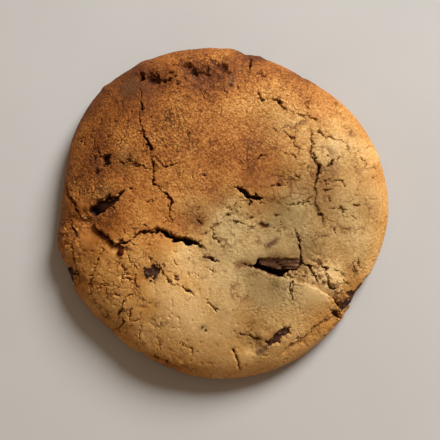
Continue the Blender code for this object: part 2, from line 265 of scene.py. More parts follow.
# Where the crust is broken up: x, y, spread, amount
CRUMBLY_PLACES = [
    (-4, 37, 8, 0.9),
    (-18, 36, 5, 0.6),
    (25, -17.5, 3.6, 1.1),
    (30, -22, 3.2, 1.1),
    (24, 5, 6, 0.4),
    (-37, -3, 4, 0.6),
    (-43, -9, 5, 0.9),
    (5, -7, 5, 0.4),
    (9, -37, 3.5, 0.6),
    (-38, -22, 6, 0.4),
    (-30, 1, 3, 0.8),
    (-6, -13, 4, 0.3),
]

# Where the grain of the crust stands out more (+) or less (-): x, y, spread, amount
GRAINY_PLACES = [
    (16, 29, 12, 0.55),
    (-10, 20, 14, 0.58),
    (-33, 8, 10, 0.32),
    (-4, 38, 7, 0.25),
    (-20, -28, 14, -0.30),
    (4, -36, 12, -0.34),
    (14, -24, 6, 0.35),
    (18, 0, 9, -0.26),
    (32, 0, 10, -0.10),
    (0, -14, 9, -0.14),
]

# Where the skin of the crust is creased: x, y, spread, amount
CREASED_PLACES = [
    (-28, -24, 11, 0.55),
    (27, 5, 13, 0.65),
    (-32, 8, 10, 0.40),
    (6, -20, 9, 0.25),
    (-20, -14, 6, 0.30),
    (22, 20, 8, 0.35),
    (-4, 36, 8, 0.45),
    (24, -14, 6, 0.5),
    (-40, -8, 8, 0.5),
    (4, -6, 6, 0.4),
]

# Nubs and notches of the rim: angle and spread in degrees, how far the rim stands out
RIM_NUBS = [
    (132.6, 1.5, 0.4),
    (117, 2.5, 0.4),
    (85, 3, 0.5),
    (80, 1.5, -0.4),
    (74.5, 1.5, 0.4),
    (57, 1.5, -0.3),
    (192, 5, 0.8),
    (202, 2.5, -0.7),
    (225, 9, -0.3),
]

# The line between the browner crust, on its left, and the paler crust that spread last
BROWN_EDGE = [
    (14, 46, 0), (17, 28, 0), (16, 14, 0), (9, 6, 0), (0, -3, 0), (-8, -9, 0), (-12, -14, 0),
    (-16, -24, 0), (-14, -34, 0), (-8, -47, 0),
]

# Places that are browner (+) or paler (-) than the rest, a few of them painted shade: x, y, spread, amount
BROWNING = [
    (-36, 11, 7, 0.26),
    (-43, 8, 8, -0.17),
    (-30, 32, 10, 0.14),
    (-21, 27, 6, 0.17),
    (-5, 38, 7, 0.20),
    (-2, 35, 5, 0.24),
    (0, 43, 4, -0.18),
    (9, 43, 5, 0.34),
    # Painted shade in the crown's recess and its pit.
    (-22, 35.3, 5, 0.50),
    (-18, -27, 15, -0.30),
    (-7, -20, 4, 0.08),
    (-36, -26, 8, -0.20),
    (-42, -14, 4, -0.24),
    (-24, -39, 8, -0.20),
    (-24, -12, 7, -0.18),
    (-28, -4, 5.5, 0.30),
    (-21, -1, 7, -0.13),
    (-36, -8, 4, -0.13),
    (-9, -14, 6, -0.16),
    (-1, -21, 5, -0.12),
    (-6, -7, 3.5, 0.36),
    (-8, 1, 5.5, -0.24),
    (3, 7, 5, -0.14),
    (6, -8, 5, -0.14),
    (0, 14, 5, 0.16),
    (3, 22, 6, -0.18),
    (-14, 19, 3.5, -0.10),
    (-28, 21, 4, -0.10),
    (12, 27, 6, -0.32),
    (21, 37, 6, 0.42),
    (25, 29, 9.5, 0.34),
    (29, 14, 4, -0.14),
    (38, 22, 6, 0.30),
    # Browner, and in part painted shade along the dent's lower edge.
    (13, 6, 6, 0.48),
    (12, -2, 6, 0.16),
    (28, 4, 8, 0.32),
    (44, -4, 7, 0.28),
    (40, 8, 6, 0.26),
    (21, 0, 3.5, -0.12),
    (21, 13, 4, 0.19),
    (24, -5, 12, 0.14),
    (25, -14, 5, 0.24),
    # Painted shade in the hollow below the centre chunk's opening.
    (12, -24.6, 4, 0.25),
    (8, -20, 4, 0.10),
    (36, -21, 5, 0.28),
    (28, -21, 4, -0.48),
    (29, -30, 5, 0.18),
    (25, -34, 6, 0.14),
    (-4, -36, 7, -0.14),
    (8, -33, 6, 0.12),
]

# Places where the crust is a dull khaki: x, y, spread, amount
DULLNESS = [
    (20, 0, 8, 0.75),
    (30, 13, 9, 0.60),
    (35, -3, 10, 0.75),
    (36, -17, 7, 0.45),
    (16, 21, 7, 0.35),
    (15, -9, 7, 0.80),
    (3, -4, 7, 0.75),
    (0, -14, 9, 0.75),
    (9, -19, 6, 0.60),
    (14, -24, 7, 0.85),
    (0, -28, 6, 0.35),
    (24, -13, 7, 0.65),
    (9, -35, 9, 0.45),
    (24, -25, 7, 0.40),
    (-7, -2, 4, 0.35),
    (-25, 33, 3, 0.40),
    (-25, 12.5, 3, 0.50),
    (-31, 3, 3, 0.40),
]

# Smears of chocolate under the skin: x, y, half length, half width, turn in degrees, strength
SMEARS = [
    (14.2, -11.0, 2.4, 0.9, 35, 1.0),
    (12.0, -6.0, 2.0, 0.8, -10, 0.8),
    (8.0, 0.2, 0.8, 1.2, 0, 0.6),
    (3.1, 33.5, 0.8, 2.2, -15, 0.7),
    (-2.0, -15.0, 2.6, 0.8, -10, 0.4),
    (-33.8, 11.3, 1.0, 1.6, 0, 0.25),
    (11.3, -38.6, 2.0, 1.0, 40, 0.8),
    (15.0, -35.6, 4.6, 1.5, 40, 0.4),
    (-17.3, -18.5, 3.2, 2.6, 0, 0.3),
    (-25.5, 33.0, 2.0, 2.6, 0, 0.35),
    (30.2, 8.8, 2.4, 2.0, 0, 0.30),
    (-4.0, -33.0, 1.4, 1.0, 0, 0.35),
    (33.0, -26.3, 1.5, 1.5, 0, 0.4),
    (-3.8, 7.4, 0.6, 0.5, 0, 0.9),
    (16, -14.3, 5.5, 0.5, 0, 0.35),
]

# Chunks: length, width and height, then turn, pitch and roll from the lie of the crust, how far they are sunk
# from the middle of their solid, and how much of them is clouded by bloom
CHUNKS = {
    "chunk_centre": ((11.2, 4.8, 5.0), (-2, 0, 14), 0.7, 1.0),
    "chunk_left": ((10.0, 4.4, 4.4), (25, 0, 10), 2.3, 0.0),
    "chunk_slot": ((7.0, 2.6, 4.0), (-19, 0, 0), 1.7, 0.0),
    "chunk_fissure": ((6.0, 2.4, 4.0), (-14, 0, 0), 1.4, 0.0),
    "chunk_south_west": ((5.4, 4.6, 4.2), (20, 6, 0), 0.5, 0.15),
    "chunk_south_east": ((7.8, 3.6, 4.6), (40, 0, 0), 0.9, 0.3),
    "chunk_rim_east": ((10.4, 2.7, 4.4), (57, 0, 0), 0.3, 0.2),
    "chunk_rim_west": ((6.4, 2.6, 3.6), (-62, 0, 0), 0.25, 0.0),
    "chunk_north_west": ((3.4, 2.6, 3.6), (60, 0, 0), 1.8, 0.0),
}

# The crack across the centre chunk: x, y, half width, from the chunk's own middle
CHUNK_CRACK = [(-1.2, 0.8, .2), (-0.6, 0.1, .24), (0.2, -0.7, .28), (1.2, -1.5, .3), (1.5, -2.6, .35)]

# Where the short cracks are thickest: x, y, spread, amount
CRACKED_PLACES = [(27, 4, 16, 0.6), (-24, -24, 14, 0.8), (-32, 12, 12, 0.45), (4, -14, 10, 0.3)]
SHORT_CRACK_COUNT = 150
SHORT_CRACK_STEP = 0.75
SHORT_CRACK_REACH = 44  # they stay this near the middle of the cookie

# Where grains of sugar glint in the crust, with painted glints in its colour: x, y, spread, amount
SUGARED_PLACES = [(12, 24, 17, 1.0), (34, 10, 12, 0.5), (-8, 20, 14, 0.7)]

# The bead of boiled-out sugar: x, y, radius
SUGAR_BEAD = [(-26.2, -12.9, 1.05)]

# Crumbs that lie on the crust: x, y, radius
CRUMBS = [
    (18.7, -18.9, 0.7), (19.7, -18.4, 0.55), (17.5, -19.4, 0.4), (19.3, -19.7, 0.45),
    (20.3, -18.9, 0.35), (-30.6, 0.9, 0.5), (-29.9, 0.2, 0.45), (-29.4, 1.5, 0.55), (-28.6, 1.9, 0.5),
    (-28.4, 1.0, 0.4), (-27.4, 2.5, 0.45), (-31.4, -0.1, 0.35), (-31.2, 1.7, 0.45), (-36.6, -3.1, 0.4),
    (-35.6, -2.7, 0.3), (-37.3, -2.6, 0.3), (-36.1, -4.3, 0.3), (23.2, -18.4, 0.5), (24.3, -18.9, 0.6),
    (22.6, -19.4, 0.4), (25.9, -18.6, 0.5), (26.8, -19.6, 0.6), (27.5, -21.0, 0.5), (28.1, -18.7, 0.4),
    (25.6, -17.3, 0.4), (30.2, -21.6, 0.6), (31.2, -24.6, 0.5), (32.1, -22.8, 0.4), (24.9, -21.2, 0.4),
]

# Flecks of chocolate that broke from the chunks: x, y, radius
FLECKS = [
    (13.1, -6.0, 0.3), (16.2, -18.9, 0.4), (19.1, -17.6, 0.3), (-23.3, 4.3, 0.35), (-1.6, -15.3, 0.3),
    (-4.4, -32.9, 0.3), (-3.5, -33.6, 0.25), (31.9, -26.0, 0.4), (8.3, -0.4, 0.4), (3.3, 32.6, 0.35),
    (-19.6, -17.2, 0.3), (-16.2, -16.6, 0.35), (-14.6, -18.6, 0.3), (-17.9, -20.6, 0.3),
]

# Lamp and camera: angles in degrees, distances and the point aimed at in metres
LAMP_HEIGHT = 36
LAMP_TURN = 50
LAMP_DISTANCE = 1.10
CAMERA_TILT = (9, 5, 0)
CAMERA_DISTANCE = 0.30
AIM = (-0.0004, -0.0033, 0.006)


def distance(a, b):
    return math.hypot(a[0] - b[0], a[1] - b[1])


def chance(key):
    """A number from 0 to 1 that looks random and is always the same for the same key."""
    return np.sin(key) * 43758.5453 % 1.0


def wander(points, size, seed):
    """Smooth noise from -1 to 1 whose lumps are about size across; points are rows of x, y, z."""
    cell = np.asarray(points) / size + seed * 7.31
    corner = np.floor(cell)
    part = cell - corner
    ease = part * part * (3 - 2 * part)
    total = np.zeros(len(cell))
    for step in itertools.product((0.0, 1.0), repeat=3):
        key = (corner + step) @ KEY_WEIGHTS
        total += (2 * chance(key) - 1) * np.prod(np.where(np.array(step) > 0, ease, 1 - ease), axis=1)
    return total


def net_distance(points, size, seed):
    """A net of uneven cells about size across: how far in mm each point lies from the borders and from its
    cell's middle, and a number from 0 to 1 that is its cell's own."""
    cell = np.asarray(points) / size
    corner = np.floor(cell)
    nearest = np.full(len(cell), np.inf)
    second = np.full(len(cell), np.inf)
    own = np.zeros(len(cell))
    for step in itertools.product((-1.0, 0.0, 1.0), repeat=3):
        there = corner + step
        key = there @ KEY_WEIGHTS + seed * 17.17
        middle = there + np.stack([chance(key + part) for part in (0.0, 3.1, 7.9)], axis=1)
        gap = np.sqrt(((cell - middle) ** 2).sum(axis=1))
        own = np.where(gap < nearest, chance(key + 5.7), own)
        second = np.minimum(second, np.maximum(gap, nearest))
        nearest = np.minimum(gap, nearest)
    return (second - nearest) * size / 2, nearest * size, own


def smooth_step(low, high, value):
    part = np.clip((value - low) / (high - low), 0.0, 1.0)
    return part * part * (3 - 2 * part)


def sum_of(places, x, y):
    """Sum of round soft patches, each x, y, spread and amount."""
    total = np.zeros(np.shape(x))
    for place_x, place_y, spread, amount in places:
        total = total + amount * np.exp(-((x - place_x) ** 2 + (y - place_y) ** 2) / spread**2)
    return total


def outline_share(angle):
    """Radius of the widest line round the cookie, as a share of the mean radius."""
    share = np.ones(np.shape(angle))
    for waves, height, crest in OUTLINE_WAVES:
        share = share + height * np.cos(waves * (angle - math.radians(crest)))
    return share


def rim_nubs(angle):
    """How far the rim stands out of the solid's outline at an angle, in mm."""
    total = np.zeros(np.shape(angle))
    for nub, spread, height in RIM_NUBS:
        gap = (np.degrees(angle) - nub + 180) % 360 - 180
        total = total + height * np.exp(-((gap / spread) ** 2))
    return total


def outline_fit():
    """Mean radius and centre of the outline, in mm, that fill the solid dough's box."""
    low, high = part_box("cookie_dough")
    angle = np.linspace(0, 2 * math.pi, 3600)
    x = outline_share(angle) * np.cos(angle)
    y = outline_share(angle) * np.sin(angle)
    radius = (high[0] - low[0]) / (x.max() - x.min()) / MM
    centre_x = (high[0] + low[0]) / 2 / MM - radius * (x.max() + x.min()) / 2
    centre_y = (high[1] + low[1]) / 2 / MM - radius * (y.max() + y.min()) / 2
    return radius, centre_x, centre_y


RADIUS, CENTRE_X, CENTRE_Y = outline_fit()


def wall_profile():
    """Shares of the way from crown to foot, and the share of the radius, setback and height at each."""
    turn = np.linspace(0.0, math.pi / 2, WALL_STEPS)
    under = np.linspace(0.0, math.pi / 2, WALL_STEPS // 8)[1:]
    reach = np.concatenate([np.sin(turn) ** (2 / CROWN_POWER), np.ones(len(under))])
    setback = np.concatenate([np.zeros(WALL_STEPS), FOOT_SETBACK * (1 - np.cos(under))])
    rise = (CROWN - WIDEST) * np.cos(turn) ** (2 / SHOULDER_POWER)
    height = np.concatenate([WIDEST + rise, WIDEST * (1 - np.sin(under))])
    travel = np.hypot(np.diff(reach * RADIUS - setback), np.diff(height))
    share = np.concatenate([[0.0], np.cumsum(travel)])
    return share / share[-1], reach, setback, height


def square_to_disc(a, b):
    """Pulls the square -1..1 into the unit disc so that its cells keep an even size."""
    ring = np.maximum(np.abs(a), np.abs(b))
    lying = np.abs(a) >= np.abs(b)
    safe = np.where(ring > 0, ring, 1.0)
    across = np.where(lying, b, a) / safe * (math.pi / 4)
    beside = np.where(a >= 0, across, math.pi - across)
    above = np.where(b >= 0, math.pi / 2 - across, across - math.pi / 2)
    return ring, np.where(lying, beside, above)


def hold(height):
    """Share of the swells that is kept at a height: all of it on the crown, none at the widest line."""
    return np.clip((height - WIDEST) / (CROWN - WIDEST), 0.0, 1.0) ** 0.6


def crown_normal(x, y):
    """The lie of the solid's crust at a point, from the height of its crown there."""
    def height(x, y):
        angle = math.atan2(y - CENTRE_Y, x - CENTRE_X)
        reach = math.hypot(x - CENTRE_X, y - CENTRE_Y) / (RADIUS * float(outline_share(angle)))
        plain = WIDEST + (CROWN - WIDEST) * (1 - min(reach, 1.0) ** CROWN_POWER) ** (1 / SHOULDER_POWER)
        return plain + float(sum_of(SWELLS, x, y) * hold(plain))
    step = 0.4
    east = height(x + step, y) - height(x - step, y)
    north = height(x, y + step) - height(x, y - step)
    return Vector((-east, -north, 2 * step)).normalized()


def torn(x, y):
    """The point that a crack's edge is read at: pushed about by noise and by chips, so that edges are torn."""
    flat = np.column_stack([x, y, np.zeros(len(x))])
    push_x = 0.50 * wander(flat, 2.3, 1) + 0.30 * wander(flat, 1.0, 2)
    push_y = 0.50 * wander(flat, 2.3, 4) + 0.30 * wander(flat, 1.0, 5)
    for size, reach, seed in ((1.5, 0.26, 3), (0.7, 0.16, 6)):
        _, _, own = net_distance(flat, size, seed)
        push_x = push_x + reach * np.cos(2 * math.pi * own)
        push_y = push_y + reach * np.sin(2 * math.pi * own)
    dry = 1.0 - 0.8 * smoothness(x, y)
    return x + push_x * dry, y + push_y * dry


def oval_reach(x, y, middle, long, wide, turn):
    """How far out in a turned oval each point lies: 0 at its middle, 1 on its edge."""
    cos = math.cos(math.radians(turn))
    sin = math.sin(math.radians(turn))
    dx = x - middle[0]
    dy = y - middle[1]
    return np.hypot((dx * cos + dy * sin) / long, (dy * cos - dx * sin) / wide)


def near(x, y, points, margin):
    """Indices of the points that lie within margin of the box round a route."""
    low = np.min(points, axis=0) - margin
    high = np.max(points, axis=0) + margin
    return np.nonzero((x > low[0]) & (x < high[0]) & (y > low[1]) & (y < high[1]))[0]


def along_route(x, y, route):
    """Distance to a route, +1 on its left and -1 on its right, and its half width at the nearest point."""
    best = np.full(x.shape, np.inf)
    side = np.ones(x.shape)
    width = np.zeros(x.shape)
    for start, end in zip(route[:-1], route[1:]):
        length = distance(start, end)
        step_x = (end[0] - start[0]) / length
        step_y = (end[1] - start[1]) / length
        passed = np.clip((x - start[0]) * step_x + (y - start[1]) * step_y, 0.0, length)
        gap = np.hypot(x - start[0] - passed * step_x, y - start[1] - passed * step_y)
        nearer = gap < best
        best = np.where(nearer, gap, best)
        turn = step_x * (y - start[1]) - step_y * (x - start[0])
        side = np.where(nearer, np.where(turn >= 0, 1.0, -1.0), side)
        width = np.where(nearer, start[2] + (end[2] - start[2]) * passed / length, width)
    return best, side, width


def smoothness(x, y):
    """How smooth the crust is, 0..1: where dough slid out of a crack it has no dry skin."""
    smooth = np.zeros(np.shape(x))
    for place_x, place_y, spread in SMOOTH_PLACES:
        smooth = smooth + np.exp(-(((x - place_x) ** 2 + (y - place_y) ** 2) / spread**2) ** 2)
    return np.clip(smooth, 0.0, 1.0)


def short_cracks():
    """Routes of the many short cracks of the drier crust, each a wandering line that is widest mid-way."""
    draw = random.Random(11)
    routes = []
    while len(routes) < SHORT_CRACK_COUNT:
        x = draw.uniform(-SHORT_CRACK_REACH, SHORT_CRACK_REACH)
        y = draw.uniform(-SHORT_CRACK_REACH, SHORT_CRACK_REACH)
        if math.hypot(x, y) > SHORT_CRACK_REACH or draw.random() > crack_share(x, y):
            continue
        heading = draw.uniform(0, 2 * math.pi)
        count = draw.randint(3, 7)
        widest = draw.uniform(0.07, 0.20)
        route = []
        for step in range(count):
            width = 0.04 + widest * math.sin(math.pi * (step + 0.5) / count)
            route.append((x, y, width))
            x += SHORT_CRACK_STEP * math.cos(heading)
            y += SHORT_CRACK_STEP * math.sin(heading)
            heading += draw.uniform(-0.7, 0.7)
        routes.append(route)
    return routes


def crack_share(x, y):
    """How likely a short crack is at a place: most in the pale crust and round the lower rim."""
    share = 0.08 + float(sum_of(CRACKED_PLACES, x, y))
    return max(0.0, share - float(smoothness(x, y)))


SHORT_CRACKS = short_cracks()


def survey(x, y):
    """Relief of the crust's cracks, pits and openings, and how deep each point lies in them."""
    relief = np.zeros(x.shape)
    fall = np.zeros(x.shape)
    torn_x, torn_y = torn(x, y)
    flat = np.column_stack([x, y, np.zeros(len(x))])
    breadth = np.clip(1.0 + 0.9 * wander(flat, 1.5, 7) + 0.6 * wander(flat, 0.6, 8), 0.08, 1.6)
    for lift, reach, drop, route in CRACKS.values():
        which = near(x, y, [point[:2] for point in route], 6.0)
        gap, side, width = along_route(torn_x[which], torn_y[which], route)
        least = np.minimum(width, 0.13)
        swell = (np.maximum(breadth[which], 0.4) - 1) * (1.0 - 0.7 * smooth_step(0.25, 0.6, width))
        width = width * (1 + swell)
        width = np.maximum(width, least)
        signed = gap * side
        offset = np.abs(signed + width) if reach > 0 else gap
        inside = np.clip(1.0 - offset / np.maximum(width, 0.05), 0.0, 1.0)
        depth = np.minimum(3.4, 0.2 + 3.0 * width) * smooth_step(0.0, 0.6, inside)
        body = np.clip(width / 0.4, 0.0, 1.0)
        relief[which] += np.where(signed > 0, lift * body * np.exp(-((gap / 2.5) ** 2)), 0.0)
        if reach > 0:
            depth = np.maximum(depth, np.where(signed < 0, drop * np.exp(-((gap / reach) ** 2)), 0.0))
        fall[which] = np.maximum(fall[which], depth)
    for route in SHORT_CRACKS:
        which = near(x, y, [point[:2] for point in route], 1.0)
        gap, _, width = along_route(torn_x[which], torn_y[which], route)
        width = width * breadth[which]
        inside = np.clip(1.0 - gap / width, 0.0, 1.0)
        fall[which] = np.maximum(fall[which], np.minimum(4.0 * width, 0.8) * smooth_step(0.0, 0.7, inside))
    for pit_x, pit_y, long, wide, turn, depth in PITS:
        which = near(x, y, [(pit_x, pit_y)], 3.5)
        reach = oval_reach(torn_x[which], torn_y[which], (pit_x, pit_y), long, wide, turn)
        fall[which] = np.maximum(fall[which], depth * smooth_step(-0.15, 0.6, 1.0 - reach))
    for depth, bank, corners in HOLLOWS.values():
        which = near(x, y, corners, 3.0)
        inside = np.full(len(which), np.inf)
        for start, end in zip(corners, corners[1:] + corners[:1]):
            length = distance(start, end)
            cross = (end[0] - start[0]) * (torn_y[which] - start[1])
            cross = cross - (end[1] - start[1]) * (torn_x[which] - start[0])
            inside = np.minimum(inside, cross / length)
        fall[which] = np.maximum(fall[which], depth * smooth_step(-0.15, bank, inside))
    return relief - fall, fall


def deselect_all():
    if bpy.context.mode != "OBJECT":
        bpy.ops.object.mode_set(mode="OBJECT")
    bpy.ops.object.select_all(action="DESELECT")


def points_of(piece):
    """The piece's points as rows of x, y, z in mm."""
    flat = np.empty(len(piece.data.vertices) * 3)
    piece.data.vertices.foreach_get("co", flat)
    return flat.reshape(-1, 3) / MM


def move_points(piece, points):
    piece.data.vertices.foreach_set("co", (points * MM).ravel())
    piece.data.update()


def normals_of(piece):
    flat = np.empty(len(piece.data.vertices) * 3)
    piece.data.vertices.foreach_get("normal", flat)
    return flat.reshape(-1, 3)


def store(piece, name, values):
    """Keeps one number for each point of the piece, for its material to read."""
    attribute = piece.data.attributes.new(name, "FLOAT", "POINT")
    attribute.data.foreach_set("value", np.asarray(values, dtype=np.float32))


def shade_smooth(piece):
    piece.data.polygons.foreach_set("use_smooth", [True] * len(piece.data.polygons))


def disc_grid(name, cells):
    deselect_all()
    bpy.ops.mesh.primitive_grid_add(x_subdivisions=cells, y_subdivisions=cells, size=2.0)
    piece = bpy.context.object
    piece.name = name
    points = points_of(piece) * MM
    return piece, points[:, 0], points[:, 1]


def make_crust():
    """Crown, wall and foot of the dough, from one grid."""
    crust, a, b = disc_grid("baked_dough", TOP_CELLS)
    passed, angle = square_to_disc(a, b)
    shares, reach, setback, height = wall_profile()
    radius = RADIUS * outline_share(angle) * np.interp(passed, shares, reach)
    radius = radius - np.interp(passed, shares, setback)
    radius = radius + rim_nubs(angle) * smooth_step(0.75, 0.95, radius / RADIUS)
    x = CENTRE_X + radius * np.cos(angle)
    y = CENTRE_Y + radius * np.sin(angle)
    z = np.interp(passed, shares, height)
    z = z + (sum_of(SWELLS, x, y) + sum_of(DIMPLES, x, y)) * hold(z)
    points = np.column_stack([x, y, z])
    move_points(crust, points)
    normals = normals_of(crust)
    relief, fall = survey(x, y)
    grain, crease = grain_height(points)
    foot = smooth_step(0.3, 3.0, z)
    edge = smooth_step(0.0, 1.2, z)
    move_points(crust, points + normals * (relief * foot + grain * edge)[:, None])
    # The creases' depth is added to the cracks', so that both get painted shade.
    paint(crust, points, fall * foot + 7.0 * crease, grain)
    return crust


def grain_height(points):
    """Lumps, crumb and fine creases of the crust, in mm out of it, and how deep the creases are."""
    x, y, z = points.T
    crumbly = np.clip(sum_of(CRUMBLY_PLACES, x, y), 0.0, 1.2)
    dry = 1.0 - 0.7 * smoothness(x, y)
    grainy = grain_share(points)
    push = [1.2 * wander(points, 2.0, seed) + 0.8 * wander(points, 0.8, seed + 3) for seed in (71, 72)]
    push = np.stack(push + [np.zeros(len(points))], axis=1)
    border, _, _ = net_distance(points * np.array([1.0, 1.0, 0.15]) + push, 4.6, 5)
    crease = 0.10 * (1.0 - smooth_step(0.03, 0.20, border)) * crease_share(points) * dry
    _, clod, lift = net_distance(points + 0.25 * push, 1.7, 8)
    clods = crumbly * (0.55 * (0.5 - clod / 1.7) + 0.45 * (lift - 0.5))
    _, middle, size = net_distance(points, 0.85, 9)
    grains = 0.08 * (0.55 - middle / 0.85) + 0.05 * (size - 0.5) + 0.06 * wander(points, 0.45, 14)
    pores = 0.16 * smooth_step(0.55, 0.85, wander(points, 0.9, 15))
    lumps = 0.20 * wander(points, 6.0, 11) + 0.04 * wander(points, 2.4, 12)
    return lumps + (grains * grainy + clods - pores - crease) * dry, crease


def crease_share(points):
    """How far the fine creases of the skin have opened, 0..1."""
    x, y, _ = points.T
    return smooth_step(0.0, 0.7, 0.8 * wander(points, 3.0, 76) + sum_of(CREASED_PLACES, x, y) - 0.1)


def grain_share(points):
    """How much the grain of the crust stands out, in rougher and smoother patches."""
    x, y, _ = points.T
    return np.clip(0.48 + sum_of(GRAINY_PLACES, x, y), 0.1, 1.3) * (1.0 + 0.5 * wander(points, 3.5, 16))


def make_underside():
    """The flat base that lay on the tray, with its pores."""
    base, a, b = disc_grid("underside", BASE_CELLS)
    passed, angle = square_to_disc(a, b)
    radius = (RADIUS * outline_share(angle) + rim_nubs(angle) - FOOT_SETBACK) * passed
    x = CENTRE_X + radius * np.cos(angle)
    y = CENTRE_Y + radius * np.sin(angle)
    flat = np.column_stack([x, y, np.zeros(len(x))])
    pores = smooth_step(0.42, 0.8, wander(flat, 1.6, 31))
    pores = pores + 0.6 * smooth_step(0.3, 0.7, wander(flat, 4.0, 32))
    inner = 1.0 - smooth_step(0.93, 1.0, passed)
    points = np.column_stack([x, y, 0.35 * pores * inner])
    move_points(base, points)
    base.data.flip_normals()
    # The pores of the base get painted shade from their depth.
    paint(base, points, 0.8 * pores, 0.1 * wander(flat, 2.0, 33))
    return base


def make_dough():
    """The dough: its crust joined to its underside, bridged at the foot, and thinned where it is flattest."""
    crust = make_crust()
    base = make_underside()
    deselect_all()
    crust.select_set(True)
    base.select_set(True)
    bpy.context.view_layer.objects.active = crust
    bpy.ops.object.join()
    bpy.ops.object.mode_set(mode="EDIT")
    bpy.ops.mesh.select_mode(type="EDGE")
    bpy.ops.mesh.select_all(action="DESELECT")
    bpy.ops.mesh.select_non_manifold()
    bpy.ops.mesh.bridge_edge_loops()
    bpy.ops.mesh.select_all(action="SELECT")
    bpy.ops.mesh.quads_convert_to_tris()
    bpy.ops.mesh.normals_make_consistent(inside=False)
    bpy.ops.object.mode_set(mode="OBJECT")
    count = len(crust.data.polygons)
    if count > DOUGH_TRIANGLES:
        thin = crust.modifiers.new("thin", "DECIMATE")
        thin.ratio = DOUGH_TRIANGLES / count
        bpy.ops.object.modifier_apply(modifier=thin.name)
    shade_smooth(crust)
    return crust


def paint(piece, points, fall, grain):
    """Numbers for the dough's material: browning, with painted light and shade on the grain, dullness, depth in a
    crack for painted shade, smears, sugar for painted glints, grain and so on.
    """
    x, y, z = points.T
    flat = np.column_stack([x, y, np.zeros(len(x))])
    gap, side, _ = along_route(x, y, BROWN_EDGE)
    edge = -gap * side + 2.2 * wander(flat, 7.0, 21) + 1.4 * wander(flat, 2.5, 22) + 0.8 * wander(flat, 1.0, 26)
    angle = np.arctan2(y - CENTRE_Y, x - CENTRE_X)
    reach = np.hypot(x - CENTRE_X, y - CENTRE_Y) / (RADIUS * outline_share(angle))
    soft = 2.0 + 4.0 * smooth_step(6, 20, y) + 8.0 * smooth_step(-10, -24, y)
    brown_side = smooth_step(-1.0, 1.0, edge / soft)
    bake = 0.24 + 0.40 * brown_side - 0.004 * x * (1 - brown_side)
    bake = bake + 0.08 * smooth_step(0.88, 1.0, reach) + 0.14 * (1 - smooth_step(1.0, 6.0, z))
    # Subtracting the grain paints light and shade on the crust's relief: its raised lumps and grains are paler,
    # and its pores and creases are browner.
    bake = bake + sum_of(BROWNING, x, y) - 0.5 * grain
    bake = bake + 0.06 * wander(points, 5.0, 24) + 0.05 * wander(points, 2.0, 25)
    smear = np.zeros(len(x))
    for place_x, place_y, long, wide, turn, strength in SMEARS:
        far = oval_reach(x, y, (place_x, place_y), long, wide, turn)
        smear = np.maximum(smear, strength * smooth_step(0.0, 0.7, 1.25 - far + 0.3 * wander(flat, 0.9, 23)))
    sugar = sum_of(SUGARED_PLACES, x, y)
    store(piece, "bake", np.clip(bake, 0, 1))
    store(piece, "dull", np.clip(sum_of(DULLNESS, x, y), 0, 1) * smooth_step(6, 9, z))
    # Depth in a crack, pit or opening, which the material turns into painted shade.
    store(piece, "deep", smooth_step(0.25, 2.4, fall))
    store(piece, "smear", np.clip(smear, 0, 1) * smooth_step(2, 4, z))
    # Where the material paints glints of sugar.
    store(piece, "sugar", np.clip(sugar, 0, 1) * smooth_step(8, 12, z))
    store(piece, "smooth", smoothness(x, y) * smooth_step(2, 4, z))
    store(piece, "grainy", grain_share(points))
    store(piece, "creased", crease_share(points) * (1.0 - smoothness(x, y)) * smooth_step(3, 6, z))
    store(piece, "under", 1.0 - smooth_step(0.3, 1.6, z))


def linear(code):
    """A colour from its sRGB hex value."""
    parts = [int(code[place:place + 2], 16) / 255 for place in (1, 3, 5)]
    return tuple(part / 12.92 if part <= 0.04045 else ((part + 0.055) / 1.055) ** 2.4 for part in parts) + (1.0,)


def add(tree, kind, inputs=None, **settings):
    """Adds a node with its settings, and sets or links its inputs by name or number."""
    node = tree.nodes.new(kind)
    for name, value in settings.items():
        setattr(node, name, value)
    for key, value in (inputs or {}).items():
        if isinstance(value, bpy.types.NodeSocket):
            tree.links.new(value, node.inputs[key])
        else:
            node.inputs[key].default_value = value
    return node


def new_material(name):
    material = bpy.data.materials.new(name)
    material.use_nodes = True
    tree = material.node_tree
    return material, tree, tree.nodes["Principled BSDF"]


def read(tree, name):
    return add(tree, "ShaderNodeAttribute", attribute_name=name).outputs["Fac"]


def maths(tree, operation, first, second):
    return add(tree, "ShaderNodeMath", {0: first, 1: second}, operation=operation).outputs[0]


def vector_maths(tree, operation, first, second):
    return add(tree, "ShaderNodeVectorMath", {0: first, 1: second}, operation=operation).outputs[0]


def swing(tree, value, amount):
    """A pattern from 0 to 1 made to swing by amount about zero."""
    return maths(tree, "MULTIPLY", maths(tree, "SUBTRACT", value, 0.5), amount)


def blend_colour(tree, share, first, second):
    mix = add(tree, "ShaderNodeMix", {0: share, 6: first, 7: second}, data_type="RGBA")
    return mix.outputs[2]


def ramp(tree, share, stops):
    node = add(tree, "ShaderNodeValToRGB", {"Fac": share})
    stops_on = node.color_ramp.elements
    while len(stops_on) < len(stops):
        stops_on.new(0.5)
    for element, (place, colour) in zip(stops_on, stops):
        element.position = place
        element.color = linear(colour) if isinstance(colour, str) else (colour, colour, colour, 1.0)
    return node.outputs["Color"]


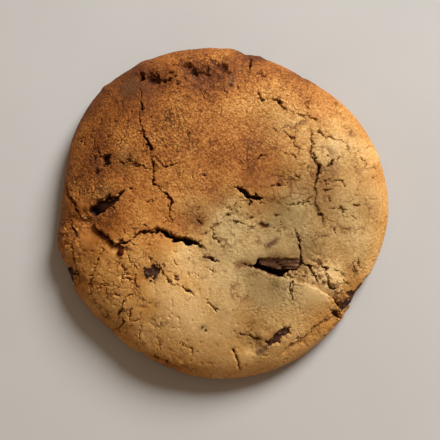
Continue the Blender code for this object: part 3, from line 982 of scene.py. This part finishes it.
def baked_crust():
    """Baked cookie dough, dried in the oven: butter yellow where it spread last, browned at the rim and top, with
    painted shade in its cracks and creases, painted light and shade on its grain and painted glints on its sugar.
    """
    material, tree, shader = new_material("baked cookie crust")
    place = add(tree, "ShaderNodeTexCoord").outputs["Object"]
    patch = add(tree, "ShaderNodeTexNoise", {"Vector": place, "Scale": 1 / 0.0014, "Detail": 5, "Roughness": 0.7})
    fine = add(tree, "ShaderNodeTexNoise", {"Vector": place, "Scale": 1 / 0.0005, "Detail": 3, "Roughness": 0.6})
    grain = add(tree, "ShaderNodeTexVoronoi", {"Vector": place, "Scale": 1 / 0.0007, "Randomness": 1.0})
    crumb = add(tree, "ShaderNodeTexVoronoi", {"Vector": place, "Scale": 1 / 0.00045, "Randomness": 1.0})
    tone = add(tree, "ShaderNodeSeparateColor", {"Color": crumb.outputs["Color"]}).outputs["Red"]
    soft = maths(tree, "SUBTRACT", 1.0, maths(tree, "MULTIPLY", read(tree, "smooth"), 0.6))
    uneven = maths(tree, "ADD", maths(tree, "MULTIPLY", read(tree, "grainy"), 0.82), 0.16)
    uneven = maths(tree, "MULTIPLY", soft, uneven)
    soft = maths(tree, "MULTIPLY", soft, read(tree, "grainy"))
    bake = read(tree, "bake")
    # The patch, fine and crumb patterns give random tone. The grain's swing is painted light and shade: the
    # middles of its cells, which the bump raises, are paler, and their borders are browner.
    swings = (
        (patch.outputs["Fac"], 0.30), (fine.outputs["Fac"], 0.40),
        (tone, 0.34), (grain.outputs["Distance"], 0.35),
    )
    for value, amount in swings:
        bake = maths(tree, "ADD", bake, maths(tree, "MULTIPLY", swing(tree, value, amount), uneven))
    colour = ramp(tree, bake, [
        (0.0, "#e4bc80"), (0.25, "#cf9c57"), (0.45, "#b87e3b"),
        (0.62, "#a06125"), (0.8, "#7c4512"), (1.0, "#562805"),
    ])
    dull_colour = ramp(tree, bake, [(0.1, "#b79d6c"), (0.35, "#937849"), (0.7, "#6c4f2a")])
    colour = blend_colour(tree, read(tree, "dull"), colour, dull_colour)
    speck = add(tree, "ShaderNodeTexVoronoi", {"Vector": place, "Scale": 1 / 0.0018, "Randomness": 1.0})
    speck_share = maths(tree, "MULTIPLY", ramp(tree, speck.outputs["Distance"], [(0.0, 0.7), (0.2, 0.0)]), soft)
    colour = blend_colour(tree, speck_share, colour, linear("#6f431c"))
    under_colour = ramp(tree, patch.outputs["Fac"], [(0.3, "#7a4a22"), (0.7, "#a36a35")])
    colour = blend_colour(tree, read(tree, "under"), colour, under_colour)
    colour = blend_colour(tree, read(tree, "smear"), colour, linear("#5b3a24"))
    coarse = add(tree, "ShaderNodeTexNoise", {"Vector": place, "Scale": 1 / 0.0022, "Detail": 1, "Roughness": 0.5})
    pushed = vector_maths(tree, "SUBTRACT", coarse.outputs["Color"], (0.5, 0.5, 0.5))
    pushed = vector_maths(tree, "MULTIPLY", pushed, (0.005, 0.005, 0.0))
    level = vector_maths(tree, "MULTIPLY", place, (1.0, 1.0, 0.15))
    pushed = vector_maths(tree, "ADD", pushed, level)
    plates = add(tree, "ShaderNodeTexVoronoi", {"Vector": pushed, "Scale": 1 / 0.0052}, feature="DISTANCE_TO_EDGE")
    parted = ramp(tree, plates.outputs["Distance"], [(0.0, 1.0), (0.02, 0.9), (0.06, 0.0)])
    parted = maths(tree, "MULTIPLY", parted, read(tree, "creased"))
    # Painted shade along the fine creases of the skin: their lines darkened to brown.
    colour = blend_colour(tree, maths(tree, "MULTIPLY", parted, 0.8), colour, linear("#6b3d18"))
    # Painted shade in cracks, pits, openings and creases: the deeper, the darker, down to near black.
    deep = read(tree, "deep")
    painted_shade_colour = ramp(tree, deep, [(0.0, "#80481c"), (0.45, "#54280f"), (1.0, "#1d0c05")])
    colour = blend_colour(tree, ramp(tree, deep, [(0.0, 0.0), (0.35, 0.85), (1.0, 1.0)]), colour, painted_shade_colour)
    # Painted glints: small grains on the sugared places are lightened to pale gold, and their roughness is lowered
    # below.
    glint = add(tree, "ShaderNodeTexVoronoi", {"Vector": place, "Scale": 1 / 0.0008, "Randomness": 1.0})
    glint_share = ramp(tree, glint.outputs["Distance"], [(0.0, 1.0), (0.32, 0.0)])
    glint_share = maths(tree, "MULTIPLY", glint_share, read(tree, "sugar"))
    colour = blend_colour(tree, maths(tree, "MULTIPLY", glint_share, 0.55), colour, linear("#ebb878"))
    tree.links.new(colour, shader.inputs["Base Color"])
    rough = ramp(tree, glint_share, [(0.0, 0.72), (0.7, 0.55)])
    tree.links.new(rough, shader.inputs["Roughness"])
    shader.inputs["Specular IOR Level"].default_value = 0.25
    relief = maths(tree, "SUBTRACT", fine.outputs["Fac"], maths(tree, "MULTIPLY", grain.outputs["Distance"], 0.6))
    relief = maths(tree, "ADD", relief, maths(tree, "MULTIPLY", tone, 0.25))
    relief = maths(tree, "SUBTRACT", relief, maths(tree, "MULTIPLY", parted, 0.7))
    bump = add(tree, "ShaderNodeBump", {"Strength": soft, "Distance": 0.0003, "Height": relief})
    tree.links.new(bump.outputs["Normal"], shader.inputs["Normal"])
    return material


def dark_chocolate():
    """Dark chocolate, melted and set again: satin, purple-brown, with paler bloom in streaks, and painted shade,
    near black, in its cracks and low sides.
    """
    material, tree, shader = new_material("dark chocolate")
    place = add(tree, "ShaderNodeTexCoord").outputs["Object"]
    drawn_out = {"Vector": place, "Rotation": (0, 0, math.radians(10)), "Scale": (1, 2.5, 1)}
    turned = add(tree, "ShaderNodeMapping", drawn_out)
    streak = add(tree, "ShaderNodeTexNoise", {"Vector": turned.outputs[0], "Scale": 1 / 0.004, "Detail": 4})
    plain = ramp(tree, streak.outputs["Fac"], [(0.3, "#1e0c07"), (0.5, "#341a10"), (0.7, "#4c2c1c")])
    cloudy = [(0.3, "#5e3f2b"), (0.5, "#79563d"), (0.66, "#8c6852"), (0.8, "#a58472")]
    clouded = ramp(tree, streak.outputs["Fac"], cloudy)
    colour = blend_colour(tree, read(tree, "bloom"), plain, clouded)
    # Painted shade, near black, in the chunks' cracks and on their lower sides.
    colour = blend_colour(tree, read(tree, "deep"), colour, linear("#1a0a08"))
    tree.links.new(colour, shader.inputs["Base Color"])
    shader.inputs["Roughness"].default_value = 0.48
    shader.inputs["Specular IOR Level"].default_value = 0.16
    pitted = add(tree, "ShaderNodeTexNoise", {"Vector": place, "Scale": 1 / 0.0012, "Detail": 3, "Roughness": 0.6})
    relief = maths(tree, "ADD", streak.outputs["Fac"], maths(tree, "MULTIPLY", pitted.outputs["Fac"], 1.5))
    bump = add(tree, "ShaderNodeBump", {"Strength": 0.8, "Distance": 0.0004, "Height": relief})
    tree.links.new(bump.outputs["Normal"], shader.inputs["Normal"])
    return material


def caramel():
    """Sugar that boiled out of the dough and set as a bead: smooth, dull, dark amber."""
    material, tree, shader = new_material("burnt sugar")
    place = add(tree, "ShaderNodeTexCoord").outputs["Object"]
    cloud = add(tree, "ShaderNodeTexNoise", {"Vector": place, "Scale": 1 / 0.001, "Detail": 2})
    colour = ramp(tree, cloud.outputs["Fac"], [(0.35, "#381404"), (0.7, "#5e260a")])
    tree.links.new(colour, shader.inputs["Base Color"])
    shader.inputs["Roughness"].default_value = 0.85
    shader.inputs["Specular IOR Level"].default_value = 0.05
    return material


def cut_centre(points, top):
    """The broken slab in the middle opening: narrow at its left end, with a crack across and ribs on its right."""
    x, y, _ = points.T
    share = 0.72 + 0.32 * smooth_step(-5.6, 0.7, x) - 0.08 * smooth_step(1.2, 1.6, x)
    points[:, 1] = top - (top - y) * share
    gap, _, width = along_route(x, points[:, 1] + 0.15 * wander(points, 0.8, 48), CHUNK_CRACK)
    crack = smooth_step(0.0, 0.8, 1.0 - gap / width)
    ribs = np.sin(6.0 * points[:, 1]) * smooth_step(1.4, 2.0, x)
    flare = smooth_step(0.6, 1.6, x) * (1 - smooth_step(0.4, 1.6, points[:, 2]))
    points[:, 1] -= 1.1 * flare * smooth_step(0.0, 1.0, -points[:, 1])
    return crack, ribs


def make_chunk(name, size, turns, sink, bloom, seed):
    """One broken chunk of chocolate, its edges softened by the oven, at the place of its solid."""
    low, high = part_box(name)
    middle = (Vector(low) + Vector(high)) / 2
    normal = crown_normal(middle.x / MM, middle.y / MM)
    deselect_all()
    bpy.ops.mesh.primitive_cube_add(size=1.0)
    chunk = bpy.context.object
    chunk.name = name.replace("chunk", "chocolate")
    bpy.ops.object.mode_set(mode="EDIT")
    bpy.ops.mesh.select_all(action="SELECT")
    bpy.ops.transform.resize(value=[side * MM for side in size])
    bpy.ops.mesh.bevel(offset=0.6 * MM, segments=3, affect="EDGES")
    bpy.ops.mesh.subdivide(number_cuts=12)
    bpy.ops.object.mode_set(mode="OBJECT")
    points = points_of(chunk)
    normals = normals_of(chunk)
    lump = 0.30 * wander(points, 2.6, seed) + 0.16 * wander(points, 1.0, seed + 1)
    lump = lump + 0.06 * wander(points, 0.4, seed + 2)
    lump = lump * (1.0 if name == "chunk_centre" else 1.7)
    crack = np.zeros(len(points))
    ribs = np.zeros(len(points))
    if name == "chunk_centre":
        crack, ribs = cut_centre(points, size[1] / 2)
    else:
        points[:, 1] *= np.sqrt(1.0 - 0.8 * np.clip(2 * points[:, 0] / size[0], -1.0, 1.0) ** 2)
    upper = smooth_step(0.0, 1.0, points[:, 2])
    # Painted shade for the material: in the crack across the top, and darker down the sides below the top.
    store(chunk, "deep", np.clip(crack * upper + smooth_step(0.8, 2.2, size[2] / 2 - points[:, 2]), 0, 1))
    store(chunk, "bloom", np.clip(bloom * (0.9 + 0.3 * ribs + 0.4 * lump), 0, 1))
    points = points + normals * (lump - 0.25 - (0.6 * crack - 0.08 * ribs) * upper)[:, None]
    turn, pitch, roll = (math.radians(part) for part in turns)
    lie = Vector((0, 0, 1)).rotation_difference(normal)
    turned = (lie @ Euler((roll, pitch, turn)).to_quaternion()).to_matrix()
    place = np.array(middle - normal * sink * MM) / MM
    move_points(chunk, points @ np.array(turned).T + place)
    shade_smooth(chunk)
    return chunk


def make_bits(name, bits, dough, seed, sunk, rough):
    """Crumbs or flecks as one piece: each a small lump, partly sunk in the dough under it."""
    deselect_all()
    lumps = []
    for number, (x, y, radius) in enumerate(bits):
        _, spot, normal, _ = dough.ray_cast((x * MM, y * MM, 0.05), (0, 0, -1))
        bpy.ops.mesh.primitive_ico_sphere_add(subdivisions=3, radius=1.0)
        lump = bpy.context.object
        points = points_of(lump) * MM
        bumps = wander(points, 0.9, seed + number) + 0.5 * wander(points, 0.4, seed + number + 50)
        shape = 1.0 + rough * bumps
        longer = 0.3 * math.sin(number * 2.1)
        stretch = np.array([1.0 + longer, 1.0 - longer, 0.7])
        centre = np.array(spot) / MM + np.array(normal) * radius * (0.8 - sunk)
        move_points(lump, points * shape[:, None] * stretch * radius + centre)
        lumps.append(lump)
    for lump in lumps:
        lump.select_set(True)
    bpy.context.view_layer.objects.active = lumps[0]
    bpy.ops.object.join()
    piece = bpy.context.object
    piece.name = name
    shade_smooth(piece)
    return piece


def crumb_of_dough():
    """Broken crumb from inside the cookie: matt, uneven, the colour of pale dough."""
    material, tree, shader = new_material("cookie crumb")
    place = add(tree, "ShaderNodeTexCoord").outputs["Object"]
    grain = add(tree, "ShaderNodeTexNoise", {"Vector": place, "Scale": 1 / 0.0009, "Detail": 4, "Roughness": 0.7})
    colour = ramp(tree, grain.outputs["Fac"], [(0.3, "#6e4d28"), (0.5, "#a27c49"), (0.7, "#c6a06a")])
    tree.links.new(colour, shader.inputs["Base Color"])
    shader.inputs["Roughness"].default_value = 0.75
    bump = add(tree, "ShaderNodeBump", {"Strength": 0.8, "Distance": 0.0003, "Height": grain.outputs["Fac"]})
    tree.links.new(bump.outputs["Normal"], shader.inputs["Normal"])
    return material


def make_floor():
    deselect_all()
    bpy.ops.mesh.primitive_plane_add(size=3.0, location=(0, 0, 0))
    floor = bpy.context.object
    floor.name = "floor"
    material, tree, shader = new_material("pale stone top")
    place = add(tree, "ShaderNodeTexCoord").outputs["Object"]
    cloud = add(tree, "ShaderNodeTexNoise", {"Vector": place, "Scale": 1 / 0.05, "Detail": 3})
    colour = ramp(tree, cloud.outputs["Fac"], [(0.3, "#b8b8b7"), (0.7, "#bdbdbc")])
    tree.links.new(colour, shader.inputs["Base Color"])
    shader.inputs["Roughness"].default_value = 0.6
    shader.inputs["Specular IOR Level"].default_value = 0.2
    floor.data.materials.append(material)


def make_studio():
    """Soft daylight from the upper right, a dimmer warm room, and the camera."""
    away = Euler((0, math.radians(90 - LAMP_HEIGHT), math.radians(LAMP_TURN))).to_matrix() @ Vector((0, 0, 1))
    lamp = bpy.data.lights.new("window", "AREA")
    lamp.shape = "DISK"
    lamp.size = 0.54
    lamp.energy = 19.2
    lamp.color = linear("#fffdfa")[:3]
    window = bpy.data.objects.new("window", lamp)
    bpy.context.scene.collection.objects.link(window)
    window.location = away * LAMP_DISTANCE
    window.rotation_euler = (-away).to_track_quat("-Z", "Y").to_euler()
    world = bpy.data.worlds.new("room")
    world.use_nodes = True
    world.node_tree.nodes["Background"].inputs["Color"].default_value = linear("#ffdcb8")
    world.node_tree.nodes["Background"].inputs["Strength"].default_value = 0.25
    bpy.context.scene.world = world
    bpy.context.scene.view_settings.view_transform = "Standard"
    lens = bpy.data.cameras.new("camera")
    lens.lens = 90
    lens.sensor_width = 36
    camera = bpy.data.objects.new("camera", lens)
    bpy.context.scene.collection.objects.link(camera)
    tilt = Euler([math.radians(part) for part in CAMERA_TILT])
    camera.rotation_euler = tilt
    camera.location = Vector(AIM) + tilt.to_matrix() @ Vector((0, 0, CAMERA_DISTANCE))
    bpy.context.scene.camera = camera


def dress(piece, material, slot, *nodes):
    piece.data.materials.clear()
    piece.data.materials.append(material)
    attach(piece, "root")
    if nodes:
        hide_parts(*nodes)


def main():
    chocolate = dark_chocolate()
    dough = make_dough()
    bpy.context.view_layer.update()
    crumbs = make_bits("dough_crumbs", CRUMBS, dough, 300, 0.7, 0.55)
    flecks = make_bits("chocolate_flecks", FLECKS, dough, 400, 0.75, 0.4)
    # A little painted shade, which darkens the flecks all over.
    store(flecks, "deep", [0.2] * len(flecks.data.vertices))
    store(flecks, "bloom", [0.1] * len(flecks.data.vertices))
    bead = make_bits("sugar_bead", SUGAR_BEAD, dough, 500, 0.9, 0.12)
    dress(dough, baked_crust(), "baked_dough", "cookie_dough")
    dress(crumbs, crumb_of_dough(), "baked_dough")
    dress(flecks, chocolate, "dark_chocolate")
    dress(bead, caramel(), "baked_dough")
    for seed, (name, (size, turns, sink, bloom)) in enumerate(CHUNKS.items(), start=41):
        chunk = make_chunk(name, size, turns, sink, bloom, seed)
        dress(chunk, chocolate, "dark_chocolate", name)
    make_floor()
    make_studio()


main()
